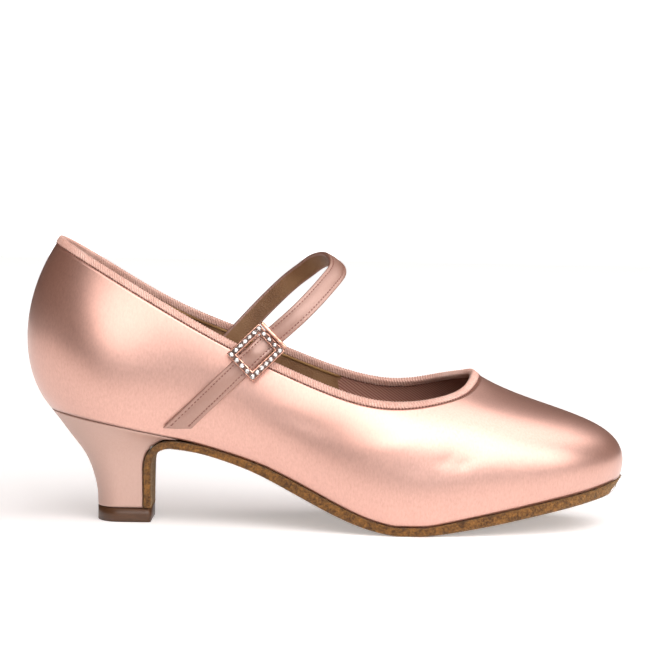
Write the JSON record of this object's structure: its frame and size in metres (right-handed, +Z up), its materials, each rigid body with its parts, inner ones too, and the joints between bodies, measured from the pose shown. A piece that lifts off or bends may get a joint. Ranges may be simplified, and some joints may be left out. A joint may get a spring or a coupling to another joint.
{
  "type": "ballroom dance shoe",
  "caption": "Satin ballroom court shoe for the right foot with a flared heel, suede sole, instep strap and stone-set slide buckle.",
  "frame": {"origin": "middle of the shoe's box on the floor under it", "axes": "+X from the heel towards the toe, +Y towards the inner side of the foot, +Z up from the floor"},
  "size_m": [0.2454, 0.08, 0.1153],
  "materials": {
    "satin": "satin weave over a firm backing",
    "grosgrain": "ribbed tape",
    "insole_leather": "smooth lining leather",
    "heel_satin": "satin stretched over the heel",
    "suede": "brushed suede",
    "lift_plastic": "moulded",
    "strap_satin": "satin folded over a leather lining",
    "buckle_metal": "rose gold plate",
    "stone": "clear faceted"
  },
  "bodies": {
    "root": {"upper": "satin", "topline_binding": "grosgrain", "insole": "insole_leather", "heel": "heel_satin", "outsole": "suede", "top_lift": "lift_plastic", "strap_tab": "strap_satin", "strap": "strap_satin", "buckle_frame": "buckle_metal", "buckle_hook": "buckle_metal", "stone_01": "stone", "stone_02": "stone", "stone_03": "stone", "stone_04": "stone", "stone_05": "stone", "stone_06": "stone", "stone_07": "stone", "stone_08": "stone", "stone_09": "stone", "stone_10": "stone", "stone_11": "stone", "stone_12": "stone", "stone_13": "stone", "stone_14": "stone", "stone_15": "stone", "stone_16": "stone", "stone_17": "stone", "stone_18": "stone", "stone_19": "stone", "stone_20": "stone"}
  },
  "joints": []
}
